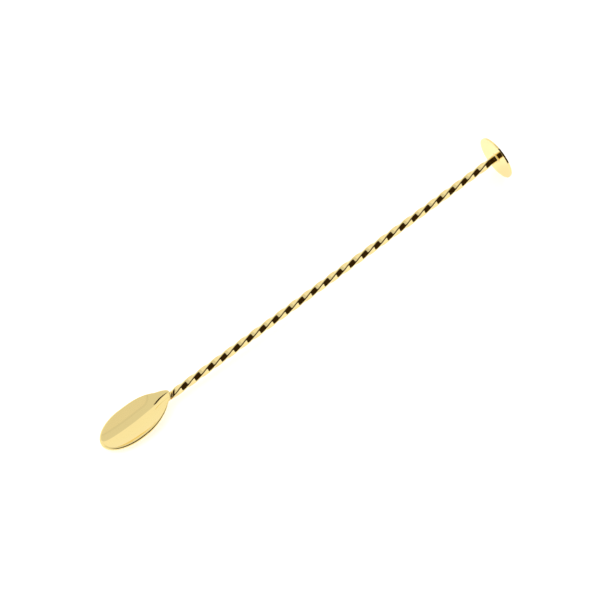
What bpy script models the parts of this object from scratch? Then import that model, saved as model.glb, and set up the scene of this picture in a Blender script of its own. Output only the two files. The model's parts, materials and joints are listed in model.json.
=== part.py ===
"""Bar spoon: a pressed teardrop bowl, a twisted square shaft and a flat muddler disc.

Everything is modelled along the shaft: X runs up the shaft from the neck joint to the disc, Z is the
side that the bowl opens to, and Y is across. The whole spoon is then leaned so that the bowl's
underside and the disc's rim both rest on the plane Z = 0. Lengths are in metres.
"""

import math

import bmesh
import bpy
from mathutils import Matrix, Vector

# Overall layout along the shaft.
OVERALL_LENGTH = 0.270
BOWL_LENGTH = 0.0466
DISC_THICKNESS = 0.0011
JOINT_GAP = 0.0003

# Bowl: outline, hollow and trimmed edge.
BOWL_WIDTH = 0.0230
BOWL_DEPTH = 0.0045
FLOOR_SHEET = 0.0011
EDGE_HEIGHT = 0.0013
NECK_EDGE_HEIGHT = 0.0007
LIP_WIDTH = 0.0011
NECK_LIP_WIDTH = 0.0005
LIP_DROP_SHARE = 0.98
LIP_TOP = 0.0001
TIP_SHARE = 0.406
TIP_SWELL_POWER = 1.5
OUTLINE_POWER = 2.7
OUTER_ARC = math.radians(65)
TIP_LIP_HEIGHT = 0.0009
MIDDLE_LIP_HEIGHT = 0.0013
HEEL_LIP_HEIGHT = 0.0026
NECK_LIP_HEIGHT = 0.0015
HEEL_RISE_SHARE = 0.86
NECK_HALF_WIDTH = 0.00215
NECK_DEPTH = 0.0031
HOLLOW_END = 0.0034
HOLLOW_RAMP = 0.0140
RAMP_HALF_WIDTH = 0.0013
RAMP_RUN = 0.0150
BELLY_RAMP_SHARE = 0.1
BELLY_POWER = 1.6
HEEL_POWER = 1.1
TIP_RINGS = 12
HEEL_RINGS = 20
ARC_STEPS = 16
RAMP_STEPS = 4
WALL_STEPS = 6

# Shaft: a square bar with rounded corners, twisted left-handed, and square again at the disc.
BAR_SIDE = 0.0039
BAR_CORNER = 0.00085
TWIST_PITCH = 0.0349
BAR_FIRST_FACE = 0.00753
FACE_ROLL = math.radians(38)
RINGS_PER_TURN = 20
SQUARE_END = 0.0051

# Joints.
JOINT_X = -0.0029
SCARF_UP = 0.70
SCARF_ACROSS = 0.42
SCARF_FADE = 0.005
BEAD_WIDTH = 0.0011
BEAD_DIAMETER = 0.0044
BEAD_SIDES = 24
BEAD_STEPS = 6
FILLET_FOOT = 0.0009
FILLET_HEIGHT = 0.0013
FILLET_EDGE = 0.0001
FILLET_STEPS = 4

# Disc.
DISC_DIAMETER = 0.0258
DISC_EDGE = 0.0003
DISC_SIDES = 72

HEEL_RUN = BOWL_LENGTH * (1.0 - TIP_SHARE)
NECK_RUN = HEEL_RUN + JOINT_X
DISC_OUTER_X = OVERALL_LENGTH - BOWL_LENGTH
DISC_INNER_X = DISC_OUTER_X - DISC_THICKNESS
TWIST_END_X = DISC_INNER_X - SQUARE_END


def clear_scene():
    for old in list(bpy.data.objects):
        bpy.data.objects.remove(old, do_unlink=True)


def metal(name, colour, roughness):
    material = bpy.data.materials.new(name)
    material.use_nodes = True
    shader = material.node_tree.nodes["Principled BSDF"]
    shader.inputs["Base Color"].default_value = (*colour, 1.0)
    shader.inputs["Roughness"].default_value = roughness
    shader.inputs["Metallic"].default_value = 1.0
    return material


def add_piece(name, mesh, material, parent):
    """Put one closed mesh in the scene as a named piece under the leaning empty."""
    mesh.materials.append(material)
    mesh.shade_smooth()
    mesh.set_sharp_from_angle(angle=math.radians(40))
    piece = bpy.data.objects.new(name, mesh)
    bpy.context.collection.objects.link(piece)
    piece.parent = parent
    return piece


def mesh_from(name, bm):
    bmesh.ops.recalc_face_normals(bm, faces=bm.faces)
    mesh = bpy.data.meshes.new(name)
    bm.to_mesh(mesh)
    bm.free()
    return mesh


def bridge(bm, ring, following):
    """Join two rings of the same number of points with a band of faces."""
    count = len(ring)
    for i in range(count):
        after = (i + 1) % count
        bm.faces.new((ring[i], ring[after], following[after], following[i]))


def loft(name, sections):
    """A closed solid through sections, each a list of points in the same order round the shape."""
    bm = bmesh.new()
    rings = [[bm.verts.new(point) for point in section] for section in sections]
    for ring, following in zip(rings, rings[1:]):
        bridge(bm, ring, following)
    bm.faces.new(rings[0])
    bm.faces.new(rings[-1])
    return mesh_from(name, bm)


def smooth_step(value):
    value = min(max(value, 0.0), 1.0)
    return value * value * (3.0 - 2.0 * value)


def slant(y, z):
    """How far the neck joint's slanted plane leans up the shaft at a point of its section."""
    return SCARF_ACROSS * y + SCARF_UP * z


def lip_height(x):
    """Height of the bowl's lip above the shaft's axis: low at the tip, highest at the heel."""
    share = -x / BOWL_LENGTH
    middle = 1.0 - TIP_SHARE
    crest = 1.0 - HEEL_RISE_SHARE
    if share > middle:
        rise = smooth_step((share - middle) / TIP_SHARE)
        return MIDDLE_LIP_HEIGHT + (TIP_LIP_HEIGHT - MIDDLE_LIP_HEIGHT) * rise
    if share > crest:
        rise = smooth_step((middle - share) / (middle - crest))
        return MIDDLE_LIP_HEIGHT + (HEEL_LIP_HEIGHT - MIDDLE_LIP_HEIGHT) * rise
    fall = smooth_step((crest - share) / crest)
    return HEEL_LIP_HEIGHT + (NECK_LIP_HEIGHT - HEEL_LIP_HEIGHT) * fall


def tip_outer(turn):
    """Place, half width, depth, edge, lip width and turn outside, on the elliptical tip side."""
    x = -HEEL_RUN - BOWL_LENGTH * TIP_SHARE * math.cos(turn)
    half = BOWL_WIDTH / 2 * math.sin(turn)
    depth = EDGE_HEIGHT + (BOWL_DEPTH - EDGE_HEIGHT) * math.sin(turn) ** TIP_SWELL_POWER
    return x, half, depth, EDGE_HEIGHT, LIP_WIDTH, turn


def tip_inner(turn):
    """Place, half width and depth of the hollow on the tip side."""
    inset = LIP_WIDTH + LIP_TOP
    x = -HEEL_RUN - (BOWL_LENGTH * TIP_SHARE - inset) * math.cos(turn)
    half = (BOWL_WIDTH / 2 - inset) * math.sin(turn)
    depth = (BOWL_DEPTH - FLOOR_SHEET) * math.sin(turn) ** TIP_SWELL_POWER
    return x, half, depth


def heel_station(share):
    """The same six numbers outside, then the hollow's three, on the way to the neck."""
    x = -HEEL_RUN + NECK_RUN * share
    half = NECK_HALF_WIDTH + (BOWL_WIDTH / 2 - NECK_HALF_WIDTH) * (1.0 - share ** OUTLINE_POWER)
    depth = NECK_DEPTH + (BOWL_DEPTH - NECK_DEPTH) * (1.0 - share * share)
    opened = min(max((-x - HOLLOW_END) / HOLLOW_RAMP, 0.0), 1.0)
    inner_depth = (depth - FLOOR_SHEET) * opened * (2.0 - opened)
    edge = EDGE_HEIGHT + (NECK_EDGE_HEIGHT - EDGE_HEIGHT) * smooth_step(share)
    lip_width = LIP_WIDTH + (NECK_LIP_WIDTH - LIP_WIDTH) * smooth_step(share)
    outer = (x, half, depth, edge, lip_width, math.pi / 2)
    return outer, (x, half - lip_width - LIP_TOP, inner_depth)


def edge_top(x, half, lip_width, turn, shear, side):
    """The lip's rounding on one side: three points from its upright foot to its crest."""
    lip = lip_height(x)
    points = []
    for rise in (0.0, math.pi / 4, math.pi / 2):
        inset = lip_width * (1.0 - math.cos(rise))
        y = side * (half - inset * math.sin(turn))
        z = lip - LIP_DROP_SHARE * lip_width * (1.0 - math.sin(rise))
        points.append(Vector((x + inset * math.cos(turn) + shear * slant(y, z), y, z)))
    return points


def outer_section(x, half, depth, edge, lip_width, turn, shear):
    """The outside from one lip round the underside to the other, with the rounded edges."""
    lip = lip_height(x)
    points = edge_top(x, half, lip_width, turn, shear, 1)[::-1]
    for step in range(ARC_STEPS + 1):
        angle = OUTER_ARC * (1.0 - 2.0 * step / ARC_STEPS)
        y = half * math.sin(angle) / math.sin(OUTER_ARC)
        drop = (math.cos(angle) - math.cos(OUTER_ARC)) / (1.0 - math.cos(OUTER_ARC))
        z = lip - edge - (depth - edge) * drop
        points.append(Vector((x + shear * slant(y, z), y, z)))
    return points + edge_top(x, half, lip_width, turn, shear, -1)


def hollow_section(x, half, depth, shear):
    """The hollow from lip to lip: a flat ramp that fades into the belly, and walls beside it."""
    lip = lip_height(x)
    fade = smooth_step(1.0 + (x + HOLLOW_END) / RAMP_RUN)
    ramp = max(RAMP_HALF_WIDTH / half * fade, BELLY_RAMP_SHARE)
    ramp = min(ramp, 1.0 - BELLY_RAMP_SHARE)
    power = BELLY_POWER + (HEEL_POWER - BELLY_POWER) * fade
    wall = [ramp + (1.0 - ramp) * (1.0 - step / WALL_STEPS) for step in range(WALL_STEPS)]
    flat = [ramp * (1.0 - 2.0 * step / RAMP_STEPS) for step in range(RAMP_STEPS + 1)]
    points = []
    for across in wall + flat + [-share for share in reversed(wall)]:
        climb = max(abs(across) - ramp, 0.0) / (1.0 - ramp)
        y = half * across
        z = lip - depth * (1.0 - climb ** power)
        points.append(Vector((x + shear * slant(y, z), y, z)))
    return points


def bowl_mesh():
    sections = []
    for i in range(1, TIP_RINGS + 1):
        turn = math.pi / 2 * i / TIP_RINGS
        outside = outer_section(*tip_outer(turn), 0.0)
        inside = hollow_section(*tip_inner(turn), 0.0)
        sections.append(outside + inside[::-1])
    for i in range(1, HEEL_RINGS + 1):
        outer, inner = heel_station(i / HEEL_RINGS)
        shear = smooth_step(1.0 + (outer[0] - JOINT_X) / SCARF_FADE)
        outside = outer_section(*outer, shear)
        inside = hollow_section(*inner, shear)
        sections.append(outside + inside[::-1])

    bm = bmesh.new()
    rings = [[bm.verts.new(point) for point in section] for section in sections]
    for ring, following in zip(rings, rings[1:]):
        bridge(bm, ring, following)
    bm.faces.new(rings[-1])

    # The tip, where the first ring closes on the lip's profile outside and one point inside.
    tip_x = -BOWL_LENGTH
    profile = [bm.verts.new((tip_x, 0, lip_height(tip_x) - EDGE_HEIGHT))]
    for point in edge_top(tip_x, 0.0, LIP_WIDTH, 0.0, 0.0, 1):
        profile.append(bm.verts.new(point))
    inner_x = tip_x + LIP_WIDTH + LIP_TOP
    profile.append(bm.verts.new((inner_x, 0, lip_height(inner_x))))
    first = rings[0]
    rim = len(profile) - 1
    foot = rim - 1 + ARC_STEPS
    for i in range(rim):
        bm.faces.new((first[i - 1], first[i], profile[rim - 1 - i], profile[rim - i]))
    for i in range(rim - 1, foot):
        bm.faces.new((first[i], first[i + 1], profile[0]))
    for i in range(rim):
        bm.faces.new((first[foot + i], first[foot + i + 1], profile[i + 1], profile[i]))
    for i in range(foot + rim, len(first) - 1):
        bm.faces.new((first[i], first[i + 1], profile[-1]))
    return mesh_from("spoon_bowl", bm)


def bar_section(growth=0.0):
    """Points round the bar's section, grown outwards: each face's middle, then three on a corner."""
    half = BAR_SIDE / 2 + growth
    flat = BAR_SIDE / 2 - BAR_CORNER
    middle = flat + (BAR_CORNER + growth) * math.sqrt(0.5)
    corner = [Vector((half, flat)), Vector((middle, middle)), Vector((flat, half))]
    quarter = [Vector((half, 0)), *corner]
    points = []
    for side in range(4):
        turned = Matrix.Rotation(side * math.pi / 2, 2)
        points += [turned @ point for point in quarter]
    return points


def bar_roll(x):
    """Roll of the bar about the shaft, falling with x because the twist is left-handed."""
    twisted = min(x, TWIST_END_X) - BAR_FIRST_FACE
    return math.pi / 2 + FACE_ROLL - 2 * math.pi * twisted / TWIST_PITCH


def bar_ring(x, shear=0.0, growth=0.0):
    """One section of the bar at x, rolled by the twist."""
    roll = bar_roll(x)
    ring = []
    for point in bar_section(growth):
        y = point.x * math.cos(roll) - point.y * math.sin(roll)
        z = point.x * math.sin(roll) + point.y * math.cos(roll)
        ring.append(Vector((x + shear * slant(y, z), y, z)))
    return ring


def shaft_mesh():
    start = JOINT_X + 2 * JOINT_GAP + BEAD_WIDTH
    steps = round(RINGS_PER_TURN * (TWIST_END_X - start) / TWIST_PITCH)
    sections = []
    for i in range(steps + 1):
        x = start + (TWIST_END_X - start) * i / steps
        shear = 1.0 - smooth_step((x - start) / SCARF_FADE)
        sections.append(bar_ring(x, shear))
    sections.append(bar_ring(DISC_INNER_X - JOINT_GAP))
    return loft("twisted_shaft", sections)


def circle(x, radius, sides, shear=0.0):
    points = []
    for i in range(sides):
        angle = 2 * math.pi * i / sides
        y = radius * math.cos(angle)
        z = radius * math.sin(angle)
        points.append(Vector((x + shear * slant(y, z), y, z)))
    return points


def neck_bead_mesh():
    """The bead of braze between the bowl's heel and the bar, a slanted wafer with a round rim."""
    sections = []
    for i in range(BEAD_STEPS + 1):
        angle = math.pi * i / BEAD_STEPS
        x = JOINT_X + JOINT_GAP + BEAD_WIDTH / 2 * (1.0 - math.cos(angle))
        radius = BEAD_DIAMETER / 2 - BEAD_WIDTH / 2 * (1.0 - math.sin(angle))
        sections.append(circle(x, radius, BEAD_SIDES, 1.0))
    return loft("neck_braze", sections)


def disc_mesh():
    radius = DISC_DIAMETER / 2
    sections = [
        circle(DISC_INNER_X, radius - DISC_EDGE, DISC_SIDES),
        circle(DISC_INNER_X + DISC_EDGE, radius, DISC_SIDES),
        circle(DISC_OUTER_X - DISC_EDGE, radius, DISC_SIDES),
        circle(DISC_OUTER_X, radius - DISC_EDGE, DISC_SIDES),
    ]
    return loft("muddler_disc", sections)


def disc_fillet_mesh():
    """The ring of braze round the bar's square foot, hollow in profile like a fillet."""
    foot_x = DISC_INNER_X - JOINT_GAP
    profile = [(foot_x, JOINT_GAP)]
    for i in range(FILLET_STEPS + 1):
        angle = math.pi / 2 * i / FILLET_STEPS
        x = foot_x - FILLET_EDGE - FILLET_HEIGHT * (1.0 - math.cos(angle))
        growth = JOINT_GAP + FILLET_EDGE + FILLET_FOOT * (1.0 - math.sin(angle))
        profile.append((x, growth))
    profile.append((profile[-1][0], JOINT_GAP))
    bm = bmesh.new()
    rings = [[bm.verts.new(point) for point in bar_ring(x, growth=g)] for x, g in profile]
    for ring, following in zip(rings, rings[1:] + rings[:1]):
        bridge(bm, ring, following)
    return mesh_from("disc_braze", bm)


def lowest(points, lean):
    """The point that is lowest once the shaft is raised by lean at its disc end."""
    return min(points, key=lambda p: p.x * math.sin(lean) + p.z * math.cos(lean))


def stand(meshes):
    """Turn and shift the spoon so that bowl and disc rest on Z = 0, centred over the origin."""
    bowl = [vertex.co for vertex in meshes["spoon_bowl"].vertices]
    disc = [vertex.co for vertex in meshes["muddler_disc"].vertices]
    lean = 0.0
    for _ in range(6):
        low_bowl = lowest(bowl, lean)
        low_disc = lowest(disc, lean)
        lean = math.atan2(low_bowl.z - low_disc.z, low_disc.x - low_bowl.x)
    turn = Matrix.Rotation(-lean, 4, "Y")
    corners = [turn @ v.co for mesh in meshes.values() for v in mesh.vertices]
    middle_x = (min(p.x for p in corners) + max(p.x for p in corners)) / 2
    middle_y = (min(p.y for p in corners) + max(p.y for p in corners)) / 2
    floor = min(p.z for p in corners)
    return Matrix.Translation((-middle_x, -middle_y, -floor)) @ turn


def build():
    clear_scene()
    gold = metal("gold_plate", (0.93, 0.73, 0.33), 0.08)
    shaft_gold = metal("shaft_gold", (0.92, 0.72, 0.33), 0.12)
    disc_gold = metal("disc_gold", (0.93, 0.74, 0.35), 0.06)
    braze = metal("plated_braze", (0.84, 0.63, 0.28), 0.25)

    meshes = {
        "spoon_bowl": bowl_mesh(),
        "twisted_shaft": shaft_mesh(),
        "muddler_disc": disc_mesh(),
        "neck_braze": neck_bead_mesh(),
        "disc_braze": disc_fillet_mesh(),
    }
    finishes = {
        "spoon_bowl": gold,
        "twisted_shaft": shaft_gold,
        "muddler_disc": disc_gold,
        "neck_braze": braze,
        "disc_braze": braze,
    }
    spoon = bpy.data.objects.new("spoon_axis", None)
    bpy.context.collection.objects.link(spoon)
    spoon.matrix_world = stand(meshes)
    for name, mesh in meshes.items():
        add_piece(name, mesh, finishes[name], spoon)


build()
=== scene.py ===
"""The looks of the bar spoon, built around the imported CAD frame.

Fine meshes stand for the CAD nodes: the bowl with its rounded lip, the twisted bar, the disc and the
two braze joints. They are modelled along the shaft (X up the shaft, Z out of the bowl) and placed by
one matrix that is read from the frame.
"""

import json
import math

import bpy
from mathutils import Matrix, Vector


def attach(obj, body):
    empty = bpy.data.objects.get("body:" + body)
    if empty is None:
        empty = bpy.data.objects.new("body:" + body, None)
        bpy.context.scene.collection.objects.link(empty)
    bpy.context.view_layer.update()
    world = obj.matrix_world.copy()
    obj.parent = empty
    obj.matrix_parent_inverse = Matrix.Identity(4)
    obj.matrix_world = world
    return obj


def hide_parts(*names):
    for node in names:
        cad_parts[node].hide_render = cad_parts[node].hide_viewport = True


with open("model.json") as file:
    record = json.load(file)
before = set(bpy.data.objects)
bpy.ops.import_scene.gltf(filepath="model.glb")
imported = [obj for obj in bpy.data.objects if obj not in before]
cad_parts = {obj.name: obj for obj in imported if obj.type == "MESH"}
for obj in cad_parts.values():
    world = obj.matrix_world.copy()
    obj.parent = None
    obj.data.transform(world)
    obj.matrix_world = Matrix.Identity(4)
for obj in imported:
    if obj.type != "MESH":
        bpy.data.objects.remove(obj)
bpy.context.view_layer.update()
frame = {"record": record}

# The CAD's driving dimensions, in metres, with finer gaps, edges and braze of the looks' own.
OVERALL_LENGTH = 0.270
BOWL_LENGTH = 0.0466
BOWL_WIDTH = 0.0230
BOWL_DEPTH = 0.00449
FLOOR_SHEET = 0.0011
EDGE_HEIGHT = 0.0013
NECK_EDGE_HEIGHT = 0.0007
LIP_WIDTH = 0.0011
NECK_LIP_WIDTH = 0.0005
LIP_TOP = 0.00004
TIP_SHARE = 0.406
TIP_SWELL_POWER = 1.5
OUTLINE_POWER = 2.7
OUTER_ARC = math.radians(65)
TIP_LIP_HEIGHT = 0.0009
MIDDLE_LIP_HEIGHT = 0.0013
HEEL_LIP_HEIGHT = 0.0026
NECK_LIP_HEIGHT = 0.0015
HEEL_RISE_SHARE = 0.86
NECK_HALF_WIDTH = 0.00215
NECK_DEPTH = 0.0031
HOLLOW_END = 0.0034
HOLLOW_RAMP = 0.0140
RAMP_HALF_WIDTH = 0.0013
RAMP_RUN = 0.0150
BELLY_RAMP_SHARE = 0.1
BELLY_POWER = 1.6
HEEL_POWER = 1.1
WALL_CROWDING = 1.3
CREASE_SHARE = 0.75
CREASE_WIDTH = 0.14

JOINT_X = -0.0029
SCARF_UP = 0.70
SCARF_ACROSS = 0.42
SCARF_FADE = 0.005
JOINT_GAP = 0.00015
BEAD_WIDTH = 0.0014
BEAD_DIAMETER = 0.0044
BEAD_CROWN = 0.0002
BEAD_COVE = 0.0006
BEAD_COVE_START = 0.55

BAR_SIDE = 0.0039
BAR_CORNER = 0.00085
TWIST_PITCH = 0.0349
BAR_FIRST_FACE = 0.00753
CAMERA_ROLL = math.radians(33)
FACE_ROLL = math.radians(38)
SQUARE_END = 0.0051
BAR_CHAMFER = 0.00015
BAR_END_GAP = 0.00002
FILLET_FOOT = 0.0009
FILLET_HEIGHT = 0.0014
FILLET_EDGE = 0.00012
FILLET_LIFT = 0.00003
FILLET_FOOT_GAP = 0.00001
FILLET_BAR_GAP = 0.00002

DISC_DIAMETER = 0.0258
DISC_THICKNESS = 0.0011
DISC_EDGE = 0.00012

HEEL_RUN = BOWL_LENGTH * (1.0 - TIP_SHARE)
NECK_RUN = HEEL_RUN + JOINT_X
DISC_OUTER_X = OVERALL_LENGTH - BOWL_LENGTH
DISC_INNER_X = DISC_OUTER_X - DISC_THICKNESS
TWIST_END_X = DISC_INNER_X - SQUARE_END


def spoon_matrix():
    """From the spoon's own frame to the row's frame, read from the disc face's mount."""
    mount = frame["record"]["mounts"][0]
    along = Vector(mount["axis"]).normalized()
    across = Vector((0.0, 1.0, 0.0))
    up = along.cross(across).normalized()
    turn = Matrix((along, across, up)).transposed().to_4x4()
    neck = Vector(mount["pos_m"]) - along * DISC_OUTER_X
    return Matrix.Translation(neck) @ turn


SPOON = spoon_matrix()


# ---------------------------------------------------------------- mesh tools


def mesh_object(name, points, faces, material):
    mesh = bpy.data.meshes.new(name)
    mesh.from_pydata([SPOON @ Vector(p) for p in points], [], faces)
    mesh.update()
    mesh.materials.append(material)
    mesh.shade_smooth()
    piece = bpy.data.objects.new(name, mesh)
    bpy.context.scene.collection.objects.link(piece)
    return piece


def loft(name, rings, material, closed=False, sharp=None):
    """A skin through rings of equal count. Open lofts are capped, closed ones join end to start."""
    count = len(rings[0])
    points = [p for ring in rings for p in ring]
    faces = []
    bands = len(rings) if closed else len(rings) - 1
    for band in range(bands):
        here = band * count
        there = (band + 1) % len(rings) * count
        for i in range(count):
            j = (i + 1) % count
            faces.append((here + i, there + i, there + j, here + j))
    if not closed:
        faces.append(tuple(range(count)))
        last = (len(rings) - 1) * count
        faces.append(tuple(last + i for i in reversed(range(count))))
    piece = mesh_object(name, points, faces, material)
    if sharp is not None:
        piece.data.set_sharp_from_angle(angle=math.radians(sharp))
    return piece


def smooth_step(value):
    value = min(max(value, 0.0), 1.0)
    return value * value * (3.0 - 2.0 * value)


def slant(y, z):
    """How far the neck joint's slanted plane leans up the shaft at a point of its section."""
    return SCARF_ACROSS * y + SCARF_UP * z


def circle(x, radius, sides, shear=0.0):
    points = []
    for i in range(sides):
        angle = 2 * math.pi * i / sides
        y = radius * math.cos(angle)
        z = radius * math.sin(angle)
        points.append((x + shear * slant(y, z), y, z))
    return points


# ---------------------------------------------------------------- bowl


def lip_height(x):
    share = -x / BOWL_LENGTH
    middle = 1.0 - TIP_SHARE
    crest = 1.0 - HEEL_RISE_SHARE
    if share > middle:
        rise = smooth_step((share - middle) / TIP_SHARE)
        return MIDDLE_LIP_HEIGHT + (TIP_LIP_HEIGHT - MIDDLE_LIP_HEIGHT) * rise
    if share > crest:
        rise = smooth_step((middle - share) / (middle - crest))
        return MIDDLE_LIP_HEIGHT + (HEEL_LIP_HEIGHT - MIDDLE_LIP_HEIGHT) * rise
    fall = smooth_step((crest - share) / crest)
    return HEEL_LIP_HEIGHT + (NECK_LIP_HEIGHT - HEEL_LIP_HEIGHT) * fall


def tip_stations(turn):
    """Place, half width, depth, edge, lip width and turn outside, and the hollow's first three."""
    swell = math.sin(turn) ** TIP_SWELL_POWER
    reach = BOWL_LENGTH * TIP_SHARE
    inset = LIP_WIDTH + LIP_TOP
    half = BOWL_WIDTH / 2 * math.sin(turn)
    outer = (
        -HEEL_RUN - reach * math.cos(turn),
        half,
        EDGE_HEIGHT + (BOWL_DEPTH - EDGE_HEIGHT) * swell,
        EDGE_HEIGHT,
        LIP_WIDTH,
        turn,
    )
    inner = (
        -HEEL_RUN - (reach - inset) * math.cos(turn),
        (BOWL_WIDTH / 2 - inset) * math.sin(turn),
        (BOWL_DEPTH - FLOOR_SHEET) * swell,
    )
    return outer, inner


def heel_stations(share):
    x = -HEEL_RUN + NECK_RUN * share
    half = NECK_HALF_WIDTH + (BOWL_WIDTH / 2 - NECK_HALF_WIDTH) * (1.0 - share ** OUTLINE_POWER)
    depth = NECK_DEPTH + (BOWL_DEPTH - NECK_DEPTH) * (1.0 - share * share)
    opened = min(max((-x - HOLLOW_END) / HOLLOW_RAMP, 0.0), 1.0)
    inner_depth = (depth - FLOOR_SHEET) * opened * (2.0 - opened)
    edge = EDGE_HEIGHT + (NECK_EDGE_HEIGHT - EDGE_HEIGHT) * smooth_step(share)
    lip_width = LIP_WIDTH + (NECK_LIP_WIDTH - LIP_WIDTH) * smooth_step(share)
    outer = (x, half, depth, edge, lip_width, math.pi / 2)
    return outer, (x, half - lip_width - LIP_TOP, inner_depth)


def outer_wall(x, half, depth, edge, shear, steps):
    """The underside from one trimmed edge's foot to the other's."""
    lip = lip_height(x)
    points = []
    for step in range(steps + 1):
        angle = OUTER_ARC * (1.0 - 2.0 * step / steps)
        y = half * math.sin(angle) / math.sin(OUTER_ARC)
        drop = (math.cos(angle) - math.cos(OUTER_ARC)) / (1.0 - math.cos(OUTER_ARC))
        z = lip - edge - (depth - edge) * drop
        points.append((x + shear * slant(y, z), y, z))
    return points


def hollow_wall(x, half, depth, shear, wall_steps, ramp_steps):
    """The hollow from lip to lip: a flat ramp that fades into the belly, creased walls beside it."""
    lip = lip_height(x)
    fade = smooth_step(1.0 + (x + HOLLOW_END) / RAMP_RUN)
    ramp = max(RAMP_HALF_WIDTH / half * fade, BELLY_RAMP_SHARE)
    ramp = min(ramp, 1.0 - BELLY_RAMP_SHARE)
    power = BELLY_POWER + (HEEL_POWER - BELLY_POWER) * fade
    crease = CREASE_SHARE * fade * fade
    wall = [ramp + (1.0 - ramp) * (1.0 - step / wall_steps) ** WALL_CROWDING for step in range(wall_steps)]
    flat = [ramp * (1.0 - 2.0 * step / ramp_steps) for step in range(ramp_steps + 1)]
    points = []
    for across in [-share for share in wall] + [-share for share in flat] + wall[::-1]:
        climb = max(abs(across) - ramp, 0.0) / (1.0 - ramp)
        y = half * across
        rise = crease * smooth_step(climb / CREASE_WIDTH) + (1.0 - crease) * climb ** power
        z = lip - depth * (1.0 - rise)
        points.append((x + shear * slant(y, z), y, z))
    return points


def rounded_edge(x, half, lip_width, turn, shear, side, steps):
    """The lip's outer rounding on one side, from its upright foot to its crest."""
    lip = lip_height(x)
    points = []
    for step in range(steps):
        rise = math.pi / 2 * step / (steps - 1)
        inset = lip_width * (1.0 - math.cos(rise))
        y = side * (half - inset * math.sin(turn))
        z = lip - lip_width * (1.0 - math.sin(rise))
        points.append((x + inset * math.cos(turn) + shear * slant(y, z), y, z))
    return points


def bowl_ring(outer, inner, shear, steps):
    """Round the section: underside, right edge, hollow and left edge, as seen up the shaft."""
    x, half, depth, edge, lip_width, turn = outer
    underside = outer_wall(x, half, depth, edge, shear, steps["under"])
    hollow = hollow_wall(*inner, shear, steps["wall"], steps["ramp"])
    right = rounded_edge(x, half, lip_width, turn, shear, -1, steps["edge"])
    left = rounded_edge(x, half, lip_width, turn, shear, 1, steps["edge"])
    return underside + right + hollow + left[::-1]


def build_bowl(material):
    steps = {"under": 48, "wall": 30, "ramp": 12, "edge": 14}
    tip_rings, heel_rings = 44, 90
    rings = []
    for i in range(1, tip_rings + 1):
        turn = math.pi / 2 * i / tip_rings
        rings.append(bowl_ring(*tip_stations(turn), 0.0, steps))
    for i in range(1, heel_rings + 1):
        outer, inner = heel_stations(i / heel_rings)
        shear = smooth_step(1.0 + (outer[0] - JOINT_X) / SCARF_FADE)
        rings.append(bowl_ring(outer, inner, shear, steps))

    count = len(rings[0])
    points = [p for ring in rings for p in ring]
    faces = []
    for band in range(len(rings) - 1):
        here = band * count
        for i in range(count):
            j = (i + 1) % count
            faces.append((here + i, here + count + i, here + count + j, here + j))
    last = (len(rings) - 1) * count
    faces.append(tuple(last + i for i in reversed(range(count))))

    # The tip: the lip's profile from its foot to its crest, then the hollow's first point.
    edge_count = steps["edge"]
    x = -BOWL_LENGTH
    ridge = [(x, 0.0, lip_height(x) - EDGE_HEIGHT)]
    ridge += rounded_edge(x, 0.0, LIP_WIDTH, 0.0, 0.0, 1, edge_count)
    hollow_x = x + LIP_WIDTH + LIP_TOP
    ridge.append((hollow_x, 0.0, lip_height(hollow_x)))
    start = len(points)
    points += ridge
    under_end = steps["under"]
    for i in range(under_end):
        faces.append((i, i + 1, start))
    for i in range(edge_count + 1):
        a = under_end + i
        faces.append((a, a + 1, start + i + 1, start + i))
    hollow_first = under_end + edge_count + 1
    hollow_end = hollow_first + 2 * steps["wall"] + steps["ramp"]
    top = start + edge_count + 1
    for i in range(hollow_first, hollow_end):
        faces.append((i, i + 1, top))
    for i in range(edge_count + 1):
        a = hollow_end + i
        faces.append((a, (a + 1) % count, top - i - 1, top - i))
    piece = mesh_object("bowl_shell", points, faces, material)
    piece.data.set_sharp_from_angle(angle=math.radians(38))
    return piece


# ---------------------------------------------------------------- shaft


def bar_section(growth=0.0, corner_steps=6, face_steps=6):
    """Points round the bar's section, grown outwards: flat faces and rounded corners."""
    half = BAR_SIDE / 2 + growth
    flat = BAR_SIDE / 2 - BAR_CORNER
    points = []
    for side in range(4):
        turned = Matrix.Rotation(side * math.pi / 2, 2)
        for i in range(face_steps):
            y = -flat + 2 * flat * i / face_steps
            points.append(turned @ Vector((half, y)))
        for i in range(corner_steps):
            angle = math.pi / 2 * i / corner_steps
            corner = Vector((math.cos(angle), math.sin(angle))) * (BAR_CORNER + growth)
            points.append(turned @ (Vector((flat, flat)) + corner))
    return points


def bar_roll(x):
    twisted = min(x, TWIST_END_X) - BAR_FIRST_FACE
    return math.pi / 2 + FACE_ROLL - 2 * math.pi * twisted / TWIST_PITCH


def bar_ring(x, shear=0.0, growth=0.0):
    roll = bar_roll(x)
    ring = []
    for point in bar_section(growth):
        y = point.x * math.cos(roll) - point.y * math.sin(roll)
        z = point.x * math.sin(roll) + point.y * math.cos(roll)
        ring.append((x + shear * slant(y, z), y, z))
    return ring


def build_shaft(material):
    start = JOINT_X + 2 * JOINT_GAP + BEAD_WIDTH
    rings_per_turn = 72
    steps = round(rings_per_turn * (TWIST_END_X - start) / TWIST_PITCH)
    rings = [bar_ring(start, 1.0, -BAR_CHAMFER)]
    for i in range(steps + 1):
        x = start + BAR_CHAMFER + (TWIST_END_X - start - BAR_CHAMFER) * i / steps
        shear = 1.0 - smooth_step((x - start) / SCARF_FADE)
        rings.append(bar_ring(x, shear))
    end = DISC_INNER_X - BAR_END_GAP
    end_rings = 8
    for i in range(1, end_rings + 1):
        rings.append(bar_ring(TWIST_END_X + (end - TWIST_END_X) * i / end_rings))
    return loft("twisted_bar", rings, material, sharp=50)


# ---------------------------------------------------------------- joints and disc


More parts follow.
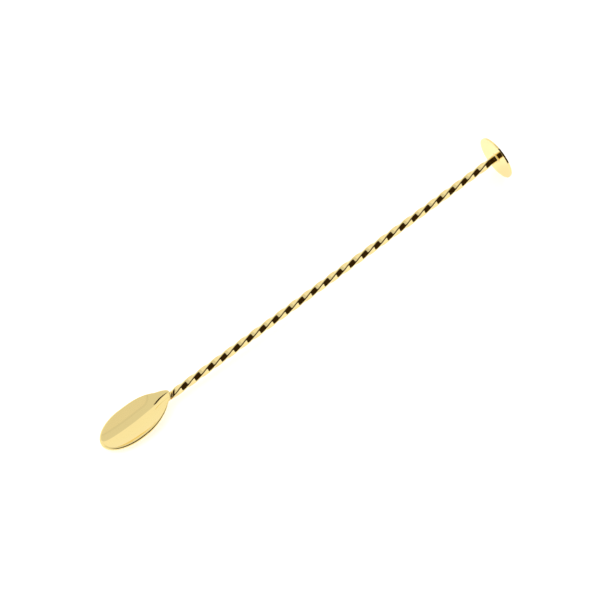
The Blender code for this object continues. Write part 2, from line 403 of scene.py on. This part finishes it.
def build_neck_bead(material):
    rings = []
    steps = 18
    for i in range(steps + 1):
        share = i / steps
        x = JOINT_X + JOINT_GAP + BEAD_WIDTH * share
        radius = BEAD_DIAMETER / 2 - BEAD_CROWN * (2.0 - math.sin(math.pi * share))
        radius -= BEAD_COVE * smooth_step((share - BEAD_COVE_START) / (1.0 - BEAD_COVE_START))
        rings.append(circle(x, radius, 64, 1.0))
    return loft("neck_bead", rings, material, sharp=60)


def build_disc(material):
    """The flat plate: rings out over one face, round both edges, and back over the other face."""
    face_rings = 24
    edge_steps = 6
    flat = DISC_DIAMETER / 2 - DISC_EDGE
    face = [flat * (i + 0.5) / face_rings for i in range(face_rings)]
    turns = [math.pi / 2 * i / edge_steps for i in range(edge_steps + 1)]
    profile = [(DISC_INNER_X, r) for r in face]
    for turn in turns:
        profile.append((DISC_INNER_X + DISC_EDGE * (1.0 - math.cos(turn)), flat + DISC_EDGE * math.sin(turn)))
    for turn in turns:
        profile.append((DISC_OUTER_X - DISC_EDGE * (1.0 - math.sin(turn)), flat + DISC_EDGE * math.cos(turn)))
    profile += [(DISC_OUTER_X, r) for r in reversed(face)]
    rings = [circle(x, r, 192) for x, r in profile]
    return loft("disc_plate", rings, material, sharp=40)


def build_disc_fillet(material):
    steps = 10
    foot_x = DISC_INNER_X - FILLET_FOOT_GAP
    profile = [(foot_x, FILLET_BAR_GAP)]
    for i in range(steps + 1):
        angle = math.pi / 2 * i / steps
        x = foot_x - FILLET_LIFT - FILLET_HEIGHT * (1.0 - math.cos(angle))
        growth = FILLET_BAR_GAP + FILLET_EDGE + FILLET_FOOT * (1.0 - math.sin(angle))
        profile.append((x, growth))
    profile.append((profile[-1][0], FILLET_BAR_GAP))
    rings = [bar_ring(x, growth=g) for x, g in profile]
    return loft("disc_fillet", rings, material, closed=True, sharp=60)


# ---------------------------------------------------------------- materials


def gold(name, colour, roughness, scratch_along, variation=0.03):
    """Polished gold plate: slight tone drift, fine wiping marks and a soft change of gloss."""
    material = bpy.data.materials.new(name)
    material.use_nodes = True
    tree = material.node_tree
    shader = tree.nodes["Principled BSDF"]
    shader.inputs["Metallic"].default_value = 1.0
    place = tree.nodes.new("ShaderNodeTexCoord")

    drift = tree.nodes.new("ShaderNodeTexNoise")
    drift.inputs["Scale"].default_value = 55.0
    drift.inputs["Detail"].default_value = 3.0
    tree.links.new(place.outputs["Object"], drift.inputs["Vector"])
    tone = tree.nodes.new("ShaderNodeMix")
    tone.data_type = "RGBA"
    deep = tuple(c * (1.0 - variation * k) for c, k in zip(colour, (1.0, 1.3, 2.2)))
    tone.inputs["A"].default_value = (*deep, 1.0)
    tone.inputs["B"].default_value = (*colour, 1.0)
    tree.links.new(drift.outputs["Fac"], tone.inputs["Factor"])
    tree.links.new(tone.outputs["Result"], shader.inputs["Base Color"])

    stretch = tree.nodes.new("ShaderNodeMapping")
    stretch.inputs["Scale"].default_value = scratch_along
    tree.links.new(place.outputs["Object"], stretch.inputs["Vector"])
    marks = tree.nodes.new("ShaderNodeTexNoise")
    marks.inputs["Scale"].default_value = 1.0
    marks.inputs["Detail"].default_value = 6.0
    marks.inputs["Roughness"].default_value = 0.65
    tree.links.new(stretch.outputs["Vector"], marks.inputs["Vector"])
    gloss = tree.nodes.new("ShaderNodeMapRange")
    gloss.inputs["From Min"].default_value = 0.35
    gloss.inputs["From Max"].default_value = 0.7
    gloss.inputs["To Min"].default_value = roughness * 0.75
    gloss.inputs["To Max"].default_value = roughness * 1.35
    tree.links.new(marks.outputs["Fac"], gloss.inputs["Value"])
    tree.links.new(gloss.outputs["Result"], shader.inputs["Roughness"])

    bump = tree.nodes.new("ShaderNodeBump")
    bump.inputs["Strength"].default_value = 0.04
    bump.inputs["Distance"].default_value = 0.00002
    tree.links.new(marks.outputs["Fac"], bump.inputs["Height"])
    tree.links.new(bump.outputs["Normal"], shader.inputs["Normal"])
    return material


def floor_material():
    material = bpy.data.materials.new("pale_floor")
    material.use_nodes = True
    tree = material.node_tree
    shader = tree.nodes["Principled BSDF"]
    shader.inputs["Roughness"].default_value = 0.9
    shader.inputs["Specular IOR Level"].default_value = 0.1
    grain = tree.nodes.new("ShaderNodeTexNoise")
    grain.inputs["Scale"].default_value = 30.0
    tone = tree.nodes.new("ShaderNodeMix")
    tone.data_type = "RGBA"
    tone.inputs["A"].default_value = (0.90, 0.90, 0.895, 1.0)
    tone.inputs["B"].default_value = (0.92, 0.92, 0.92, 1.0)
    tree.links.new(grain.outputs["Fac"], tone.inputs["Factor"])
    tree.links.new(tone.outputs["Result"], shader.inputs["Base Color"])
    return material


# ---------------------------------------------------------------- stage, light, camera

# The camera's place is worked out from the spoon: the shaft runs up to the right at IMAGE_SLOPE,
# away from the camera by TILT, and the bowl is seen CAMERA_ROLL round the shaft from its opening.
IMAGE_SLOPE = math.radians(36.14)
TILT = math.radians(12.63)
CAMERA_DISTANCE = 1.205
FOCAL_LENGTH = 136.4
SENSOR_WIDTH = 36.0
NECK_FROM_CENTRE = 0.08385
NECK_LIFT = -0.00042


def camera_axes():
    """The straight frame in row coordinates: along the shaft as seen, across it, and to the camera."""
    turn = SPOON.to_3x3()
    along = turn @ Vector((1, 0, 0))
    across = turn @ Vector((0, 1, 0))
    up = turn @ Vector((0, 0, 1))
    toward = up * math.cos(CAMERA_ROLL) - across * math.sin(CAMERA_ROLL)
    sideways = across * math.cos(CAMERA_ROLL) + up * math.sin(CAMERA_ROLL)
    seen_along = along * math.cos(TILT) + toward * math.sin(TILT)
    to_camera = toward * math.cos(TILT) - along * math.sin(TILT)
    return seen_along, sideways, to_camera


SEEN_ALONG, SEEN_ACROSS, TO_CAMERA = camera_axes()


def add_camera():
    right = SEEN_ALONG * math.cos(IMAGE_SLOPE) - SEEN_ACROSS * math.sin(IMAGE_SLOPE)
    up = SEEN_ALONG * math.sin(IMAGE_SLOPE) + SEEN_ACROSS * math.cos(IMAGE_SLOPE)
    neck = SPOON.translation
    aim = neck + SEEN_ALONG * NECK_FROM_CENTRE - SEEN_ACROSS * NECK_LIFT
    data = bpy.data.cameras.new("camera")
    data.sensor_width = SENSOR_WIDTH
    data.lens = FOCAL_LENGTH
    data.clip_end = 50.0
    camera = bpy.data.objects.new("camera", data)
    bpy.context.scene.collection.objects.link(camera)
    turn = Matrix((right, up, TO_CAMERA)).transposed().to_4x4()
    camera.matrix_world = Matrix.Translation(aim + TO_CAMERA * CAMERA_DISTANCE) @ turn
    bpy.context.scene.camera = camera


def add_floor():
    size = 6.0
    corners = [(-size, -size, 0), (size, -size, 0), (size, size, 0), (-size, size, 0)]
    mesh = bpy.data.meshes.new("floor")
    mesh.from_pydata(corners, [], [(0, 1, 2, 3)])
    mesh.materials.append(floor_material())
    floor = bpy.data.objects.new("floor", mesh)
    bpy.context.scene.collection.objects.link(floor)
    return floor


class Nodes:
    """A short way to write a node tree's arithmetic."""

    def __init__(self, tree):
        self.tree = tree

    def plug(self, socket, value):
        if isinstance(value, bpy.types.NodeSocket):
            self.tree.links.new(value, socket)
        else:
            socket.default_value = value

    def calc(self, operation, first, second=0.0):
        node = self.tree.nodes.new("ShaderNodeMath")
        node.operation = operation
        self.plug(node.inputs[0], first)
        self.plug(node.inputs[1], second)
        return node.outputs[0]

    def dot(self, vector, direction):
        node = self.tree.nodes.new("ShaderNodeVectorMath")
        node.operation = "DOT_PRODUCT"
        node.inputs[1].default_value = direction
        self.tree.links.new(vector, node.inputs[0])
        return node.outputs["Value"]

    def ramp(self, value, low, high, at_low, at_high):
        node = self.tree.nodes.new("ShaderNodeMapRange")
        node.interpolation_type = "SMOOTHSTEP"
        settings = {"From Min": low, "From Max": high, "To Min": at_low, "To Max": at_high}
        for socket, setting in settings.items():
            node.inputs[socket].default_value = setting
        self.plug(node.inputs["Value"], value)
        return node.outputs["Result"]


# The tent's dark gap, in slopes from the gap's own middle direction: U along the shaft, V across it.
GAP_TURN = math.radians(15)
GAP_U = 2.1
GAP_V_LOW = -1.75
GAP_V_HIGH = 0.53
FADE_U = 0.25
FADE_V = 0.08
BRIGHT_V = 1.8
BRIGHT_FADE = 0.25
GAP_COLOUR = (0.036, 0.020, 0.006, 1.0)
MIDDLE_LIGHT = 0.82
BRIGHT_LIGHT = 1.06
PANEL_DISTANCE = 0.6
PANEL_CENTRE_SHARE = 0.8
PANEL_V_LOW = 0.08
FLOOR_WASH = 56.0
FLOOR_WASH_SIZE = 3.0
FLOOR_WASH_HEIGHT = 2.0

GAP_OUT = TO_CAMERA * math.cos(GAP_TURN) + SEEN_ALONG * math.sin(GAP_TURN)
GAP_ALONG = SEEN_ALONG * math.cos(GAP_TURN) - TO_CAMERA * math.sin(GAP_TURN)


def add_world():
    """A pale tent with a warm dark gap over the spoon, brighter on its far side and tip side."""
    world = bpy.data.worlds.new("tent")
    bpy.context.scene.world = world
    world.use_nodes = True
    tree = world.node_tree
    nodes = Nodes(tree)
    place = tree.nodes.new("ShaderNodeTexCoord").outputs["Generated"]
    out = nodes.calc("MAXIMUM", nodes.dot(place, GAP_OUT), 0.02)
    u = nodes.calc("DIVIDE", nodes.dot(place, GAP_ALONG), out)
    v = nodes.calc("DIVIDE", nodes.dot(place, SEEN_ACROSS), out)
    reach = nodes.calc("ABSOLUTE", u)
    inside_u = nodes.ramp(reach, GAP_U - FADE_U, GAP_U + FADE_U, 1.0, 0.0)
    above = nodes.ramp(v, GAP_V_LOW - FADE_V, GAP_V_LOW + FADE_V, 0.0, 1.0)
    below = nodes.ramp(v, GAP_V_HIGH - FADE_V, GAP_V_HIGH + FADE_V, 1.0, 0.0)
    gap = nodes.calc("MULTIPLY", nodes.calc("MULTIPLY", above, below), inside_u)
    far_side = nodes.ramp(v, BRIGHT_V - BRIGHT_FADE, BRIGHT_V + BRIGHT_FADE, 0.0, 1.0)
    tip_side = nodes.ramp(u, -GAP_U - FADE_U, -GAP_U + FADE_U, 1.0, 0.0)
    bright = nodes.calc("MAXIMUM", far_side, tip_side)
    range_up = nodes.calc("MULTIPLY", bright, BRIGHT_LIGHT - MIDDLE_LIGHT)
    tent = nodes.calc("ADD", range_up, MIDDLE_LIGHT)
    paint = tree.nodes.new("ShaderNodeMix")
    paint.data_type = "RGBA"
    tree.links.new(gap, paint.inputs["Factor"])
    tree.links.new(tent, paint.inputs["A"])
    paint.inputs["B"].default_value = GAP_COLOUR
    back = tree.nodes["Background"]
    tree.links.new(paint.outputs["Result"], back.inputs["Color"])
    back.inputs["Strength"].default_value = 1.0


def add_bowl_panel(bowl):
    """A soft panel that closes the upper part of the gap for the bowl alone."""
    low = PANEL_V_LOW - FADE_V
    high = GAP_V_HIGH + FADE_V
    width = 2 * (GAP_U + FADE_U) * PANEL_DISTANCE
    height = (high - low) * PANEL_DISTANCE
    data = bpy.data.lights.new("bowl_panel", "AREA")
    data.shape = "RECTANGLE"
    data.size = width
    data.size_y = height
    data.energy = math.pi * width * height * MIDDLE_LIGHT
    data.use_nodes = True
    tree = data.node_tree
    nodes = Nodes(tree)
    split = tree.nodes.new("ShaderNodeSeparateXYZ")
    tree.links.new(tree.nodes.new("ShaderNodeNewGeometry").outputs["Parametric"], split.inputs[0])
    side = nodes.calc("ABSOLUTE", nodes.calc("SUBTRACT", split.outputs["X"], 0.5))
    share_u = FADE_U / (GAP_U + FADE_U)
    share_v = 2 * FADE_V / (high - low)
    inside_u = nodes.ramp(side, 0.5 - share_u, 0.5, 1.0, 0.0)
    above = nodes.ramp(split.outputs["Y"], 0.0, share_v, 0.0, 1.0)
    below = nodes.ramp(split.outputs["Y"], 1.0 - share_v, 1.0, 1.0, 0.0)
    level = nodes.calc("MULTIPLY", nodes.calc("MULTIPLY", above, below), inside_u)
    emission = tree.nodes["Emission"]
    tree.links.new(level, emission.inputs["Strength"])
    lamp = bpy.data.objects.new("bowl_panel", data)
    bpy.context.scene.collection.objects.link(lamp)
    turn = Matrix((GAP_ALONG, SEEN_ACROSS, GAP_OUT)).transposed().to_4x4()
    middle = SPOON @ Vector((-HEEL_RUN * PANEL_CENTRE_SHARE, 0.0, 0.0))
    middle += (GAP_OUT + SEEN_ACROSS * (high + low) / 2) * PANEL_DISTANCE
    lamp.matrix_world = Matrix.Translation(middle) @ turn
    lamp.visible_camera = False
    group = bpy.data.collections.new("bowl_panel_receivers")
    group.objects.link(bowl)
    lamp.light_linking.receiver_collection = group


def add_floor_wash(floor):
    """A wide even light on the floor alone, which the spoon doesn't shade."""
    data = bpy.data.lights.new("floor_wash", "AREA")
    data.shape = "SQUARE"
    data.size = FLOOR_WASH_SIZE
    data.energy = FLOOR_WASH
    lamp = bpy.data.objects.new("floor_wash", data)
    bpy.context.scene.collection.objects.link(lamp)
    lamp.location = (0.0, 0.0, FLOOR_WASH_HEIGHT)
    lamp.visible_camera = False
    group = bpy.data.collections.new("floor_wash_floor")
    group.objects.link(floor)
    lamp.light_linking.receiver_collection = group
    lamp.light_linking.blocker_collection = group


# ---------------------------------------------------------------- assembly


def take_over(piece, node):
    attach(piece, "root")
    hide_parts(node)


def build():
    gold_colour = (0.93, 0.75, 0.33)
    bowl_gold = gold("bowl_gold", gold_colour, 0.05, (900, 2600, 2600))
    bar_gold = gold("bar_gold", (0.88, 0.71, 0.33), 0.05, (700, 5200, 5200))
    disc_gold = gold("disc_gold", gold_colour, 0.06, (3000, 1400, 5000))
    bead_gold = gold("bead_gold", (0.84, 0.66, 0.32), 0.20, (4000, 4000, 4000), 0.08)
    fillet_gold = gold("fillet_gold", gold_colour, 0.12, (4000, 4000, 4000))

    bowl = build_bowl(bowl_gold)
    shaft = build_shaft(bar_gold)
    disc = build_disc(disc_gold)
    bead = build_neck_bead(bead_gold)
    fillet = build_disc_fillet(fillet_gold)
    take_over(bowl, "spoon_bowl")
    take_over(shaft, "twisted_shaft")
    take_over(disc, "muddler_disc")
    take_over(bead, "neck_braze")
    take_over(fillet, "disc_braze")

    floor = add_floor()
    add_world()
    add_bowl_panel(bowl)
    add_floor_wash(floor)
    bpy.context.scene.view_settings.view_transform = "Standard"
    add_camera()


build()
